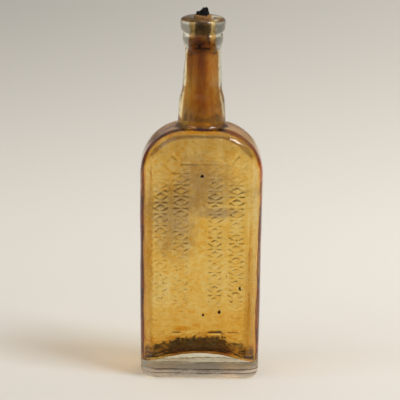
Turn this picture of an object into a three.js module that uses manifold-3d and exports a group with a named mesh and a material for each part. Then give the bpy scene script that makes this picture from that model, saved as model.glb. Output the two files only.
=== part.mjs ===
// An old mould-blown medicine bottle, corked, with the dried remains of its contents inside.
//
// Millimetres, +Z up. The origin is the centre of the base on the surface that the bottle stands on.
// X is the bottle's width and Y its depth; the embossed face looks along -Y.
//
// The body is a flask: an arched outline seen from the front, as deep as `body.depth`, with a bevel all
// round the front and the back face. The neck swells once on its way down, and the mouth is a double ring.

import * as THREE from "three";
import { mergeVertices } from "three/addons/utils/BufferGeometryUtils.js";
import Module from "manifold-3d";

const wasm = await Module();
wasm.setup();

// ---------------------------------------------------------------- driving dimensions

const body = {
  width: 74.6, // at the top of the straight sides
  baseWidth: 73.2, // the sides draw in a little towards the base
  depth: 43.0,
  crownHeight: 156.5, // of the shoulders, where the neck stands on them
  shoulderRadius: 29.0, // of the quarter round that each shoulder is, seen from the front
  cornerBevel: 7.6, // width, seen from the front, of the bevels up the four corners
  shoulderBevel: 4.6, // width of the same bevels where they follow the shoulders round
  bevelDepth: 6.0, // of both, seen from the side
  heelRadius: 5.0,
  wall: 3.4,
};

const base = {
  thickness: 10.6, // of solid glass, at the two narrow ends
  humpHeight: 5.6, // by which the floor inside rises from the ends to the middle
  pushUp: 4.5, // how far the underside is pressed up
  footRing: 3.5, // width of the flat that the bottle stands on, all round the push-up
};

const neck = {
  length: 45.4, // from the crown of the shoulders to the foot of the collar
  rootRadius: 14.6,
  rootFillet: 2.0,
  swellHeight: 15.2, // of the wide lower part
  swellTopRadius: 13.7,
  swellTaper: 5.6, // the height over which the swell draws in
  waistRadius: 12.1,
  topRadius: 10.7,
  throatRadius: 11.0, // of the bore, where it opens into the shoulders
  swellBore: 7.8,
  waistBore: 5.8,
};

const mouth = {
  collarHeight: 4.4,
  lowerRingHeight: 5.0,
  lowerRingRadius: 12.1,
  lowerRingRounding: 0.7,
  grooveHeight: 0.8, // between the two rings
  grooveDepth: 0.6,
  upperRingHeight: 9.0,
  upperRingRadius: 13.7,
  upperRingTopEdge: 2.4, // height of the rounding over the ring's widest part
  upperRingFlat: 1.4, // height of the widest part
  rimRadius: 10.2, // where the flat top of the ring begins
  boreRadius: 5.4,
  boreRounding: 0.9,
};

const cork = {
  length: 21.2,
  proud: 1.6, // how far it stands out of the mouth
  taper: 0.35, // by which the lower end is thinner, on the radius
  edge: 0.6, // bevel round both ends
  clearance: 0.3, // in the real bottle this gap is closed by the cork's spring
};

const seal = {
  radius: 4.6,
  height: 4.3,
  lean: 1.3, // of the broken peak, towards +X
  lobes: 3,
  lobeDepth: 0.12, // as a share of the radius
};

const residue = {
  film: 0.4, // thickness
  gap: 0.3, // between one dried layer and the next, and between the film and the glass
  filmBelowCork: 1.0,
  crust: 1.0, // over the hump of the floor
  poolLevel: 2.6, // of the dregs in the two ends, above the glass there
};

// Flakes of dried residue that stick to the inside of the front wall: how far across, as a share of the
// half width, how far up, as a share of the height of the shoulders, and their size in millimetres.
const flakes = [
  { name: "flake_shoulder", across: 0.016, up: 0.808, size: 1.0 },
  { name: "flake_low_middle", across: 0.048, up: 0.256, size: 0.75 },
  { name: "flake_low_right", across: 0.308, up: 0.27, size: 0.65 },
  { name: "flake_edge", across: 0.643, up: 0.364, size: 0.8 },
];
const flakeFlatness = 0.35;
const flakeLength = 1.3;

// How finely curves are cut.
const turnSides = 48;
const arcPoints = 14;
const heelSteps = 4;
const past = 20; // how far a cutting solid runs on past the surface it cuts

// ---------------------------------------------------------------- derived heights

const swellTop = body.crownHeight + neck.swellHeight;
const waist = swellTop + neck.swellTaper;
const collarFoot = body.crownHeight + neck.length;
const lowerRingFoot = collarFoot + mouth.collarHeight;
const lowerRingTop = lowerRingFoot + mouth.lowerRingHeight;
const upperRingFoot = lowerRingTop + mouth.grooveHeight;
const rimTop = upperRingFoot + mouth.upperRingHeight;
const corkTop = rimTop + cork.proud;
const corkFoot = corkTop - cork.length;
const filmTop = corkFoot - residue.filmBelowCork;
const boreFoot = filmTop - 2; // the bore is straight from here up
const floorMiddle = base.thickness + base.humpHeight;

// ---------------------------------------------------------------- materials

const clearGlass = new THREE.MeshStandardMaterial({
  color: 0xcfd0bd,
  roughness: 0.05,
  metalness: 0,
  transparent: true,
  opacity: 0.35,
});
const amberFilm = new THREE.MeshStandardMaterial({
  color: 0xc08a34,
  roughness: 0.25,
  metalness: 0,
  transparent: true,
  opacity: 0.6,
});
const darkResidue = new THREE.MeshStandardMaterial({ color: 0x2e1a10, roughness: 0.35, metalness: 0 });
const corkBark = new THREE.MeshStandardMaterial({ color: 0x6a4424, roughness: 0.9, metalness: 0 });
const blackPitch = new THREE.MeshStandardMaterial({ color: 0x0c0b0a, roughness: 0.5, metalness: 0 });

// ---------------------------------------------------------------- from three.js to solids and back

// A closed geometry as a manifold-3d solid.
function solidOf(geometry) {
  const bare = geometry.clone();
  bare.deleteAttribute("normal");
  bare.deleteAttribute("uv");
  const merged = mergeVertices(bare, 1e-4);
  return new wasm.Manifold(
    new wasm.Mesh({
      numProp: 3,
      vertProperties: new Float32Array(merged.attributes.position.array),
      triVerts: new Uint32Array(merged.index.array),
    }),
  );
}

function geometryOf(solid) {
  const mesh = solid.getMesh();
  const geometry = new THREE.BufferGeometry();
  geometry.setAttribute("position", new THREE.BufferAttribute(new Float32Array(mesh.vertProperties), 3));
  geometry.setIndex(new THREE.BufferAttribute(new Uint32Array(mesh.triVerts), 1));
  geometry.computeVertexNormals();
  return geometry;
}

// Turns a profile of [radius, height] points about Z.
function turned(profile) {
  const points = profile.map(([radius, height]) => new THREE.Vector2(radius, height));
  return new THREE.LatheGeometry(points, turnSides).rotateX(Math.PI / 2);
}

// Points on an arc in a profile, from one angle to another in degrees, ends included.
function arc(centreX, centreY, radius, fromDegrees, toDegrees, steps) {
  return Array.from({ length: steps + 1 }, (_, i) => {
    const angle = THREE.MathUtils.degToRad(fromDegrees + ((toDegrees - fromDegrees) * i) / steps);
    return [centreX + radius * Math.cos(angle), centreY + radius * Math.sin(angle)];
  });
}

// ---------------------------------------------------------------- the flask, and every skin inside it

// A bevel's two legs once its faces have all moved in by `inset`.
function insetBevel(width, depth, inset) {
  const slack = inset * (width + depth - Math.hypot(width, depth));
  return { width: width - slack / depth, depth: depth - slack / width };
}

// The front outline moved in by `inset`: two sides, two round shoulders and the short flat between them.
function archShape(inset) {
  const shoulderX = body.width / 2 - body.shoulderRadius;
  const shoulderZ = body.crownHeight - body.shoulderRadius;
  const radius = body.shoulderRadius - inset;
  const drawIn = (body.width - body.baseWidth) / 2 / shoulderZ;
  const footX = body.baseWidth / 2 - inset - drawIn * past;
  const shape = new THREE.Shape();
  shape.moveTo(footX, -past);
  shape.lineTo(shoulderX + radius, shoulderZ);
  shape.absarc(shoulderX, shoulderZ, radius, 0, Math.PI / 2, false);
  shape.lineTo(-shoulderX, shoulderZ + radius);
  shape.absarc(-shoulderX, shoulderZ, radius, Math.PI / 2, Math.PI, false);
  shape.lineTo(-footX, -past);
  return shape;
}

// The outline seen from above moved in by `inset`: a rectangle with bevelled corners.
function planShape(inset) {
  const halfWidth = body.width / 2 - inset;
  const halfDepth = body.depth / 2 - inset;
  const bevel = insetBevel(body.cornerBevel, body.bevelDepth, inset);
  const corners = [
    [halfWidth, halfDepth - bevel.depth],
    [halfWidth - bevel.width, halfDepth],
    [-halfWidth + bevel.width, halfDepth],
    [-halfWidth, halfDepth - bevel.depth],
    [-halfWidth, -halfDepth + bevel.depth],
    [-halfWidth + bevel.width, -halfDepth],
    [halfWidth - bevel.width, -halfDepth],
    [halfWidth, -halfDepth + bevel.depth],
  ];
  return new THREE.Shape(corners.map(([x, y]) => new THREE.Vector2(x, y)));
}

// The body without its neck, every face moved in by `inset`, standing on `foot`.
function flask(inset, foot) {
  const depth = body.depth - 2 * inset;
  const bevel = insetBevel(body.shoulderBevel, body.bevelDepth, inset);
  const arch = new THREE.ExtrudeGeometry(archShape(inset), {
    depth: depth - 2 * bevel.depth,
    curveSegments: arcPoints,
    bevelSegments: 1,
    bevelThickness: bevel.depth,
    bevelSize: bevel.width,
    bevelOffset: -bevel.width,
  });
  arch.translate(0, 0, bevel.depth - depth / 2);
  arch.rotateX(Math.PI / 2);
  const heel = Math.max(body.heelRadius - inset, 1);
  const plan = new THREE.ExtrudeGeometry(planShape(inset), {
    depth: body.crownHeight,
    bevelSegments: heelSteps,
    bevelThickness: heel,
    bevelSize: heel,
    bevelOffset: -heel,
  });
  plan.translate(0, 0, foot + heel);
  return solidOf(arch).intersect(solidOf(plan));
}

// A roller lying along Y whose top is the floor's hump, raised by `lift`.
function hump(lift) {
  const halfSpan = body.baseWidth / 2 - body.wall;
  const radius = (halfSpan ** 2 + base.humpHeight ** 2) / (2 * base.humpHeight);
  const roller = new THREE.CylinderGeometry(radius, radius, body.depth, 180);
  return solidOf(roller.translate(0, 0, floorMiddle + lift - radius));
}

// The space that the glass leaves, with every face moved in by `inset` and the bore ending at `top`.
function hollow(inset, top) {
  const chamber = flask(body.wall + inset, base.thickness / 2).subtract(hump(inset));
  const throatFoot = body.crownHeight - body.shoulderRadius;
  const ceiling = body.crownHeight - body.wall;
  const throat = turned([
    [0, throatFoot],
    [neck.throatRadius - inset, throatFoot],
    [neck.throatRadius - inset, ceiling - 1],
    [neck.swellBore + 0.6 - inset, ceiling + 3],
    [neck.swellBore - inset, ceiling + 8],
    [neck.swellBore - inset, swellTop - 1],
    [neck.waistBore - inset, waist],
    [mouth.boreRadius - inset, boreFoot],
    [mouth.boreRadius - inset, top],
    [0, top],
  ]);
  return chamber.add(solidOf(throat));
}

// ---------------------------------------------------------------- the glass

// The foot of the neck flows out into the shoulders.
function neckRoot() {
  const outer = neck.rootRadius + neck.rootFillet;
  return arc(outer, body.crownHeight + neck.rootFillet, neck.rootFillet, 270, 180, 5);
}

// The upper ring: a tall rounding below its widest part and a tighter one above.
function upperRing() {
  const bulge = mouth.upperRingRadius - mouth.lowerRingRadius;
  const under = mouth.upperRingHeight - mouth.upperRingTopEdge - mouth.upperRingFlat;
  const over = mouth.upperRingRadius - mouth.rimRadius;
  const lower = arc(0, 0, 1, -90, 0, 6).map(([x, y]) => [
    mouth.lowerRingRadius + bulge * x,
    upperRingFoot + under * (1 + y),
  ]);
  const upper = arc(0, 0, 1, 0, 90, 6).map(([x, y]) => [
    mouth.rimRadius + over * x,
    rimTop - mouth.upperRingTopEdge * (1 - y),
  ]);
  return [...lower, ...upper];
}

// The outside of the neck and the mouth, from inside the shoulders up to the rim.
function neckAndMouth() {
  const buried = body.crownHeight - body.wall / 2;
  const groove = mouth.lowerRingRadius - mouth.grooveDepth;
  return turned([
    [0, buried],
    [neck.rootRadius + neck.rootFillet, buried],
    ...neckRoot(),
    [neck.swellTopRadius, swellTop - 1],
    [neck.swellTopRadius - 0.3, swellTop],
    [neck.waistRadius + 0.3, waist - 1.5],
    [neck.waistRadius, waist],
    [neck.topRadius, collarFoot],
    [mouth.lowerRingRadius, lowerRingFoot],
    ...arc(
      mouth.lowerRingRadius - mouth.lowerRingRounding,
      lowerRingTop - mouth.lowerRingRounding,
      mouth.lowerRingRounding,
      0,
      60,
      3,
    ),
    [groove, lowerRingTop],
    [groove, upperRingFoot],
    ...upperRing(),
    [0, rimTop],
  ]);
}

// Cuts the rounded edge where the bore opens through the rim.
function boreLip() {
  const open = mouth.boreRadius + mouth.boreRounding;
  return turned([
    [0, rimTop - mouth.boreRounding],
    ...arc(open, rimTop - mouth.boreRounding, mouth.boreRounding, 175, 90, 4),
    [open, rimTop + 1],
    [0, rimTop + 1],
  ]);
}

// The dish pressed up into the underside.
function pushUp() {
  const margin = body.heelRadius + base.footRing;
  const dish = new THREE.SphereGeometry(1, 64, 32);
  dish.scale(body.width / 2 - margin, body.depth / 2 - margin, base.pushUp);
  return dish;
}

function glassBottle() {
  return flask(0, 0)
    .add(solidOf(neckAndMouth()))
    .subtract(hollow(0, rimTop + 1))
    .subtract(solidOf(boreLip()))
    .subtract(solidOf(pushUp()));
}

// ---------------------------------------------------------------- what has dried inside it

const filmInner = residue.gap + residue.film;
const onFilm = filmInner + residue.gap; // inset of whatever lies on the film

// The lining of the body and the neck, open at its top.
function residueFilm() {
  return hollow(residue.gap, filmTop).subtract(hollow(filmInner, filmTop + 1));
}

// A crust over the hump and the dregs that dried in the two ends.
function residueCake() {
  const level = base.thickness + residue.poolLevel;
  const pool = new THREE.BoxGeometry(body.width, body.depth, level).translate(0, 0, level / 2);
  const crust = hump(onFilm + residue.crust);
  return hollow(onFilm, filmTop).intersect(crust.add(solidOf(pool)));
}

function flake(size) {
  return new THREE.SphereGeometry(size, 12, 8).scale(1, flakeFlatness, flakeLength);
}

// How far back a flake's centre is when it lies on the film of the front wall.
function flakeY(size) {
  return -body.depth / 2 + body.wall + onFilm + size * flakeFlatness;
}

// ---------------------------------------------------------------- the stopper

function corkStopper() {
  const top = mouth.boreRadius - cork.clearance;
  const foot = top - cork.taper;
  return turned([
    [0, corkFoot],
    [foot - cork.edge, corkFoot],
    [foot, corkFoot + cork.edge],
    [top, corkTop - cork.edge],
    [top - cork.edge, corkTop],
    [0, corkTop],
  ]);
}

// What is left of the pitch over the cork: a lobed crumb with a broken, leaning peak.
function pitchSeal() {
  const crumb = turned([
    [0, 0],
    [seal.radius, 0],
    [seal.radius, seal.height * 0.12],
    [seal.radius * 0.6, seal.height * 0.3],
    [seal.radius * 0.42, seal.height * 0.75],
    [seal.radius * 0.2, seal.height],
    [0, seal.height],
  ]);
  const points = crumb.attributes.position;
  for (let i = 0; i < points.count; i++) {
    const turn = Math.atan2(points.getY(i), points.getX(i));
    const lobe = 1 - seal.lobeDepth * (1 + Math.cos(seal.lobes * turn));
    const lean = (seal.lean * points.getZ(i)) / seal.height;
    points.setX(i, points.getX(i) * lobe + lean);
    points.setY(i, points.getY(i) * lobe);
  }
  return crumb;
}

// ---------------------------------------------------------------- the assembly

const bottle = new THREE.Group();

function add(name, geometry, material, x = 0, y = 0, z = 0) {
  const mesh = new THREE.Mesh(geometry, material);
  mesh.name = name;
  mesh.position.set(x, y, z);
  bottle.add(mesh);
}

add("glass_bottle", geometryOf(glassBottle()), clearGlass);
add("residue_film", geometryOf(residueFilm()), amberFilm);
add("residue_cake", geometryOf(residueCake()), darkResidue);
for (const { name, across, up, size } of flakes) {
  const x = (across * body.width) / 2;
  add(name, flake(size), darkResidue, x, flakeY(size), up * body.crownHeight);
}
add("cork_stopper", corkStopper(), corkBark);
add("pitch_seal", pitchSeal(), blackPitch, 0, 0, corkTop + cork.clearance);

export default bottle;
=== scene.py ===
# The looks of an old corked medicine bottle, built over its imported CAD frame.
#
# Shapes are worked out in millimetres, in the frame's axes: X across, -Y out of the embossed front, +Z up.
# mesh_object() turns them into metres.

import math

import bmesh
import bpy
import numpy as np
from mathutils import Matrix, Vector


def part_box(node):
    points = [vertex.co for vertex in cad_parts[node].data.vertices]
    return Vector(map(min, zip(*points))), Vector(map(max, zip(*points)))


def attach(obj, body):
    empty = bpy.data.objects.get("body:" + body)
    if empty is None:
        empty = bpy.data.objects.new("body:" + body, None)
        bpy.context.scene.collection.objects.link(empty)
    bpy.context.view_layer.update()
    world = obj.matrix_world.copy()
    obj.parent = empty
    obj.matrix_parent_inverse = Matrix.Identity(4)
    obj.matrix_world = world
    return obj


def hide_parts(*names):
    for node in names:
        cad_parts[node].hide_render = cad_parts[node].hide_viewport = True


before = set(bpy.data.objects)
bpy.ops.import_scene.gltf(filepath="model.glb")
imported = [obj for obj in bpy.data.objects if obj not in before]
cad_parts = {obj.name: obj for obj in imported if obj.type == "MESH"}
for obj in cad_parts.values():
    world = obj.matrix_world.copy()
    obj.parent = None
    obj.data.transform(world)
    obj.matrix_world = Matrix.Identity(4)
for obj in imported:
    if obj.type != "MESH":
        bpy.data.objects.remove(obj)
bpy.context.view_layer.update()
rng = np.random.default_rng(1893)

# ---------------------------------------------------------------- sizes, from the frame where it has them


def box_mm(node):
    """A node's lowest and highest corner, in millimetres."""
    low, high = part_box(node)
    return np.array(low) * 1000, np.array(high) * 1000


GLASS_HIGH = box_mm("glass_bottle")[1]
CORK_LOW, CORK_HIGH = box_mm("cork_stopper")
SEAL_LOW, SEAL_HIGH = box_mm("pitch_seal")

HALF_WIDTH = GLASS_HIGH[0] - 0.1
HALF_DEPTH = GLASS_HIGH[1] - 0.1
RIM = GLASS_HIGH[2]
CROWN = 156.5  # height of the shoulders under the neck
SHOULDER_RADIUS = 28.0
SHOULDER_X = HALF_WIDTH - SHOULDER_RADIUS
SHOULDER_TOP = CROWN - 1.4  # where the skin of the shoulders ends up under the soft edges
SHOULDER_Z = SHOULDER_TOP - SHOULDER_RADIUS
DRAW_IN = 1.3  # by which each side leans in towards the base
CORNER_BEVEL = 7.6  # of the upright corners, along the front
SHOULDER_BEVEL = 4.6  # of the front's edge round the shoulders, along the front
BEVEL_DEPTH = 6.0  # of both, from front to back
EDGE_ROUNDING = 2.2
HEEL = 6.0  # radius of the rounding between the sides and the foot
FOOT_RING = 1.5  # width of the flat ring that the bottle stands on
PUSH_UP = 5.1  # height of the hollow under the base
WALL = 3.4
FLOOR_ENDS = 8.4  # height of the floor inside, at its two ends
FLOOR_HUMP = 7.7  # by which its middle is higher
OVER_BODY = 118.0  # height from which the rays that find the shoulders start
OVER_FLOOR = 26.0  # height from which the rays that find the floor start
STAIN_DEEP = 0.14  # the stain has dried into the glass's inner face, between these depths
STAIN_SHALLOW = 0.04
NECK_FOOT = CROWN + 7.0  # above this the bottle is turned; below it, it is a flask

# The outside of the neck and mouth, and the bore, as (radius, height) points to run a smooth curve through.
NECK_OUTSIDE = [
    (14.6, CROWN - 6),
    (14.55, CROWN),
    (14.2, CROWN + 7),
    (13.75, CROWN + 13.8),
    (13.2, CROWN + 16.4),
    (12.35, CROWN + 19.6),
    (12.05, CROWN + 22),
    (11.6, CROWN + 30),
    (11.0, CROWN + 39),
    (10.75, CROWN + 44.6),
]
NECK_BORE = [
    (11.5, CROWN - 9),
    (9.9, CROWN - 3.4),
    (8.4, CROWN + 1),
    (7.9, CROWN + 6),
    (7.5, CROWN + 12),
    (6.75, CROWN + 20),
    (6.35, CROWN + 28),
    (6.2, CROWN + 38),
    (6.1, CROWN + 43),
    (5.6, CROWN + 45.5),
    (5.45, CROWN + 48),
    (5.4, RIM - 1),
]

# ---------------------------------------------------------------- smooth fields


def waves(count, shortest, longest, seed):
    """A smooth random field of about unit height, with ripples between the two lengths in millimetres."""
    r = np.random.default_rng(seed)
    way = r.normal(size=(count, 3))
    way /= np.linalg.norm(way, axis=1)[:, None]
    length = np.exp(r.uniform(math.log(shortest), math.log(longest), count))
    turn = r.uniform(0, 2 * math.pi, count)
    size = 1.4 / math.sqrt(count)

    def field(p):
        total = np.zeros(len(p))
        for w, l, t in zip(way, length, turn):
            total += np.sin((p @ w) * (2 * math.pi / l) + t)
        return total * size

    return field


def smooth_step(value, start, end):
    t = np.clip((value - start) / (end - start), 0, 1)
    return t * t * (3 - 2 * t)


def meet(a, b, radius):
    """What two solids have in common, with its edge rounded. Solids are signed distances, below 0 inside."""
    return np.minimum(-radius, np.maximum(a, b)) + np.hypot(
        np.maximum(radius + a, 0), np.maximum(radius + b, 0)
    )


def join(a, b, radius):
    return -meet(-a, -b, radius)


def curve_through(points):
    """Radius as a smooth function of height, through (radius, height) points."""
    r, z = np.array(points).T
    slope = np.diff(r) / np.diff(z)
    grade = np.zeros(len(r))
    grade[1:-1] = np.where(slope[:-1] * slope[1:] > 0, (slope[:-1] + slope[1:]) / 2, 0)
    grade[0], grade[-1] = slope[0], slope[-1]

    def radius(height):
        i = np.clip(np.searchsorted(z, height) - 1, 0, len(z) - 2)
        span = z[i + 1] - z[i]
        t = np.clip((height - z[i]) / span, 0, 1)
        a, b = (1 + 2 * t) * (1 - t) ** 2, t * (1 - t) ** 2
        c, d = t * t * (3 - 2 * t), t * t * (t - 1)
        return a * r[i] + b * span * grade[i] + c * r[i + 1] + d * span * grade[i + 1]

    return radius


outside_radius = curve_through(NECK_OUTSIDE)
bore_radius = curve_through(NECK_BORE)

# ---------------------------------------------------------------- the glass as signed distances


def flask(p, rounding):
    """The body without its neck or its foot."""
    x, y, z = np.abs(p[:, 0]), np.abs(p[:, 1]), p[:, 2]
    lean = DRAW_IN * np.clip(1 - z / SHOULDER_Z, 0, 1.2)
    outline = np.hypot(np.maximum(x - SHOULDER_X, 0), np.maximum(z - SHOULDER_Z, 0)) - SHOULDER_RADIUS
    outline = np.maximum(outline, z - SHOULDER_TOP) + lean
    face = y - HALF_DEPTH
    over = BEVEL_DEPTH * outline + SHOULDER_BEVEL * (face + BEVEL_DEPTH)
    up = BEVEL_DEPTH * (x - HALF_WIDTH + lean) + CORNER_BEVEL * (face + BEVEL_DEPTH)
    solid = np.maximum(outline, face)
    solid = meet(solid, over / math.hypot(BEVEL_DEPTH, SHOULDER_BEVEL), rounding)
    return meet(solid, up / math.hypot(BEVEL_DEPTH, CORNER_BEVEL), rounding)


def outer_solid(p):
    body = meet(flask(p, EDGE_ROUNDING), -p[:, 2], HEEL)
    neck = np.hypot(p[:, 0], p[:, 1]) - outside_radius(p[:, 2])
    neck = np.maximum(neck, CROWN - 12 - p[:, 2])
    return join(body, neck, 2.6)


uneven_wall = waves(14, 24, 70, 3)
fine_wall = waves(16, 7, 16, 4)


def inner_space(p):
    wall = WALL - 1.1 * smooth_step(p[:, 2], 116, 136) + 0.40 * uneven_wall(p) + 0.05 * fine_wall(p)
    floor = FLOOR_ENDS + FLOOR_HUMP * (1 - (p[:, 0] / (HALF_WIDTH - WALL)) ** 2)
    chamber = meet(flask(p, 1.6) + wall, floor - p[:, 2], 3.2)
    throat = np.hypot(p[:, 0], p[:, 1]) - bore_radius(p[:, 2])
    throat = np.maximum(throat, CROWN - 9 - p[:, 2])
    return join(chamber, throat, 3.5)


def cast(solid, start, way, reach):
    """Where rays from inside a solid leave it."""
    near, far = np.zeros(len(start)), np.full(len(start), float(reach))
    for _ in range(34):
        middle = (near + far) / 2
        inside = solid(start + way * middle[:, None]) < 0
        near = np.where(inside, middle, near)
        far = np.where(inside, far, middle)
    return start + way * near[:, None]


# ---------------------------------------------------------------- columns and rows of the glass's surface


def azimuths():
    """Directions round the bottle, close together on the embossed front."""
    flat = HALF_WIDTH - CORNER_BEVEL
    side = HALF_DEPTH - BEVEL_DEPTH
    corners = [
        ((-flat, -HALF_DEPTH), 92),
        ((flat, -HALF_DEPTH), 8),
        ((HALF_WIDTH, -side), 10),
        ((HALF_WIDTH, side), 8),
        ((flat, HALF_DEPTH), 30),
        ((-flat, HALF_DEPTH), 8),
        ((-HALF_WIDTH, side), 10),
        ((-HALF_WIDTH, -side), 8),
    ]
    turns = []
    for i, (start, count) in enumerate(corners):
        end = corners[(i + 1) % len(corners)][0]
        for k in range(count):
            t = k / count
            across, along = (a + (b - a) * t for a, b in zip(start, end))
            turns.append(math.atan2(along, across))
    return np.array(turns)


AZIMUTHS = azimuths()
COLUMNS = len(AZIMUTHS)
ROUND = np.stack([np.cos(AZIMUTHS), np.sin(AZIMUTHS), np.zeros(COLUMNS)], 1)


def ray_rows(solid, heights, slopes, start=None):
    """One ring of points for each pair of a start height and an upward slope in radians."""
    rows = len(heights)
    begin = np.zeros((rows, COLUMNS, 3)) if start is None else np.repeat(start[None], rows, 0)
    begin[:, :, 2] = np.asarray(heights)[:, None]
    slopes = np.asarray(slopes)[:, None, None]
    way = ROUND[None] * np.cos(slopes) + np.array([0, 0, 1.0]) * np.sin(slopes)
    way = np.broadcast_to(way, begin.shape)
    return cast(solid, begin.reshape(-1, 3), way.reshape(-1, 3), 90).reshape(begin.shape)


def turned_rows(points):
    """Rings for (radius, height) points."""
    rings = [ROUND * r + np.array([0, 0, z]) for r, z in points]
    return np.array(rings)


def arc_points(centre, radii, start, end, steps):
    """Points of an elliptic arc in (radius, height), angles in degrees, the first left out."""
    turns = np.radians(np.linspace(start, end, steps + 1)[1:])
    return [(centre[0] + radii[0] * math.cos(t), centre[1] + radii[1] * math.sin(t)) for t in turns]


def mouth_points():
    """The outside of the double ring mouth, from the top of the neck to the flat rim."""
    collar, lower, upper, rim = CROWN + 45.4, CROWN + 49.8, CROWN + 55.6, RIM
    points = [(10.72, collar - 0.4), (10.85, collar + 0.5), (11.3, collar + 2.0), (11.75, collar + 3.4)]
    points += [(12.0, lower), (12.2, lower + 0.8), (12.28, lower + 2), (12.2, lower + 3.6)]
    points += arc_points((11.6, lower + 3.9), (0.6, 1.0), 0, 75, 4)
    points += [(11.55, upper - 0.25), (11.6, upper + 0.15)]
    points += arc_points((12.0, upper + 4.6), (1.7, 4.4), -80, 0, 10)
    points += [(13.7, upper + 5.6), (13.68, upper + 6.4)]
    points += arc_points((10.6, rim - 2.5), (3.07, 2.5), 8, 90, 9)
    points += [(8.6, rim - 0.02), (7.2, rim - 0.05)]
    points += arc_points((6.6, rim - 1.15), (1.1, 1.1), 85, 180, 6)
    return points


def under_rows():
    """Rings under the base, from its middle to the heel, with the hollow pushed up in them."""
    inset = cast(lambda p: flask(p, EDGE_ROUNDING) + HEEL, *level_rays(HEEL), 90)
    under = inset[None] * np.linspace(0, 1, 15)[1:, None, None]
    margin = HEEL + FOOT_RING
    across = np.abs(under[..., 0]) / (HALF_WIDTH - margin)
    along = np.abs(under[..., 1]) / (HALF_DEPTH - margin)
    spread = (across**5 + along**5) ** 0.2
    domed = 1 - 0.08 * np.minimum(spread, 1) ** 2
    under[..., 2] = PUSH_UP * (1 - smooth_step(spread, 0.86, 1.03)) * domed
    return under, inset


def outer_rows():
    """From the middle of the base, up the outside and over the rim."""
    under, inset = under_rows()
    heel = ray_rows(outer_solid, [HEEL] * 7, np.radians([-75, -60, -46, -33, -21, -10, 0]), inset)
    side = ray_rows(outer_solid, np.linspace(6.5, OVER_BODY - 0.5, 180), np.zeros(180))
    top = math.atan((NECK_FOOT - OVER_BODY) / outside_radius(NECK_FOOT))
    shoulder = ray_rows(outer_solid, [OVER_BODY] * 70, np.linspace(0, top, 71)[1:])
    heights = np.linspace(NECK_FOOT, CROWN + 44.6, 34)[1:]
    neck = turned_rows([(outside_radius(z), z) for z in heights])
    mouth = turned_rows(mouth_points())
    return np.concatenate([under, heel, side, shoulder, neck, mouth])


def level_rays(height):
    start = np.zeros((COLUMNS, 3))
    start[:, 2] = height
    return start, ROUND


def inner_rows():
    """From the bore at the rim down to the middle of the floor."""
    bore = turned_rows([(bore_radius(z), z) for z in np.linspace(RIM - 1.6, NECK_FOOT, 32)])
    top = math.atan((NECK_FOOT - OVER_BODY) / bore_radius(NECK_FOOT))
    shoulder = ray_rows(inner_space, [OVER_BODY] * 44, np.linspace(top, 0, 45)[1:])
    side = ray_rows(inner_space, np.linspace(OVER_BODY - 1, OVER_FLOOR, 112), np.zeros(112))
    downward = np.radians(-89 * np.linspace(0, 1, 31)[1:] ** 0.8)
    floor = ray_rows(inner_space, [OVER_FLOOR] * 30, downward)
    rows = np.concatenate([bore, shoulder, side, floor])
    front = smooth_step(-rows[..., 1], HALF_DEPTH - WALL - 2.5, HALF_DEPTH - WALL - 1.6)
    rows[..., 1] += 0.13 * front * ornament(rows[..., 0], rows[..., 2])
    return rows


# ---------------------------------------------------------------- the ornament raised on the front

CHAIN_PITCH = 7.2
CHAIN_TOP = 128.5
CHAIN_FOOT = 39.5
CHAINS = [(-24.5, 3.6), (-12.2, 4.2), (8.6, 3.8), (21.6, 4.2)]  # (middle, half the width)
FOOT_DASHES = [(-28.6, -21.4), (-16.4, -12.0), (5.3, 12.5), (16.8, 23.5)]  # (left end, right end)
RAIL = 135.0  # height of the rail


def stroke(distance, width):
    """A soft-edged raised line, from the distance to its middle."""
    return 1 - smooth_step(np.abs(distance), width * 0.35, width * 0.95)


def segment(x, z, start, end):
    (ax, az), (bx, bz) = start, end
    length = (bx - ax) ** 2 + (bz - az) ** 2
    t = np.clip(((x - ax) * (bx - ax) + (z - az) * (bz - az)) / length, 0, 1)
    return np.hypot(x - ax - t * (bx - ax), z - az - t * (bz - az))


def lozenge(x, z, half_width, half_height):
    """Distance to the outline of a lozenge."""
    scale = half_width * half_height / math.hypot(half_width, half_height)
    return (np.abs(x) / half_width + np.abs(z) / half_height - 1) * scale


def chain(x, z, centre, half_width, shift):
    """One upright chain of lozenges with a bar between each two."""
    within = (z < CHAIN_TOP + CHAIN_PITCH / 2) & (z > CHAIN_FOOT - CHAIN_PITCH / 2)
    along = z - CHAIN_FOOT + shift
    to_lozenge = along % CHAIN_PITCH - CHAIN_PITCH / 2
    to_bar = (along + CHAIN_PITCH / 2) % CHAIN_PITCH - CHAIN_PITCH / 2
    link = stroke(lozenge(x - centre, to_lozenge, half_width, CHAIN_PITCH * 0.32), 0.75)
    across = np.maximum(np.abs(x - centre) - half_width, 0)
    link = np.maximum(link, stroke(np.hypot(across, to_bar), 0.75))
    return np.where(within, link, 0)


def ornament(x, z):
    """Height of the raised ornament: four chains, dashes under them, and a rail between two lozenges."""
    height = np.zeros(np.shape(x))
    for k, (centre, half_width) in enumerate(CHAINS):
        height = np.maximum(height, chain(x, z, centre, half_width, (k % 2) * CHAIN_PITCH / 2))
    for start, end in FOOT_DASHES:
        height = np.maximum(height, stroke(segment(x, z, (start, 29.4), (end, 29.6)), 0.7))
    height = np.maximum(height, stroke(segment(x, z, (-12.5, RAIL), (17.5, RAIL)), 0.7))
    for centre in (-17.5, 22.5):
        height = np.maximum(height, stroke(lozenge(x - centre, z - RAIL, 4.8, 5.6), 0.75))
    return height


def seams(x, z):
    """Shallow lines left by the mould across the foot of the front and the back."""
    sag = 0.25 * np.sin(x / 9) + 0.15 * np.sin(x / 3.7 + 1)
    lines = [(10.9, 0.6, 0.10), (7.3, 0.7, 0.13)]
    return sum(-depth * np.exp(-(((z - height - sag) / width) ** 2)) for height, width, depth in lines)


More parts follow.
